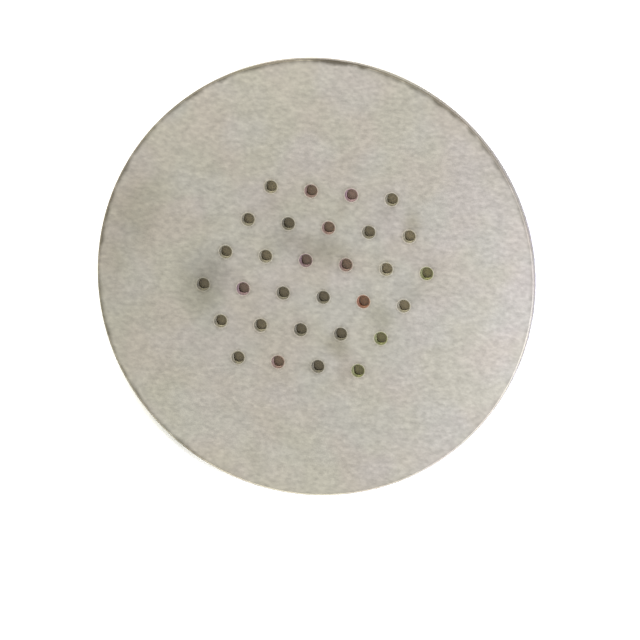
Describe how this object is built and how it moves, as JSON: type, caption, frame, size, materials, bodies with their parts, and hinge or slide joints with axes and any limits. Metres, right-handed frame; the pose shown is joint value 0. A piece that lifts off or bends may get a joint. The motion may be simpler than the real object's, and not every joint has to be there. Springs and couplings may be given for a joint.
{
  "type": "piping plate",
  "caption": "Flat round stainless steel plate with a hexagonal field of small through holes, for pressing soft food paste out as thin strands.",
  "frame": {"origin": "centre of the plate's underside, on the surface that it lies on", "axes": "+Z is the plate's axis and points out of its upper face; +X runs along the rows of holes; the row of holes furthest to +Y is shifted towards +X"},
  "size_m": [0.038, 0.038, 0.001],
  "materials": {
    "stainless_steel": "matt, tumbled, with a fine even grain"
  },
  "bodies": {
    "root": {"piping_plate": "stainless_steel"}
  },
  "joints": []
}
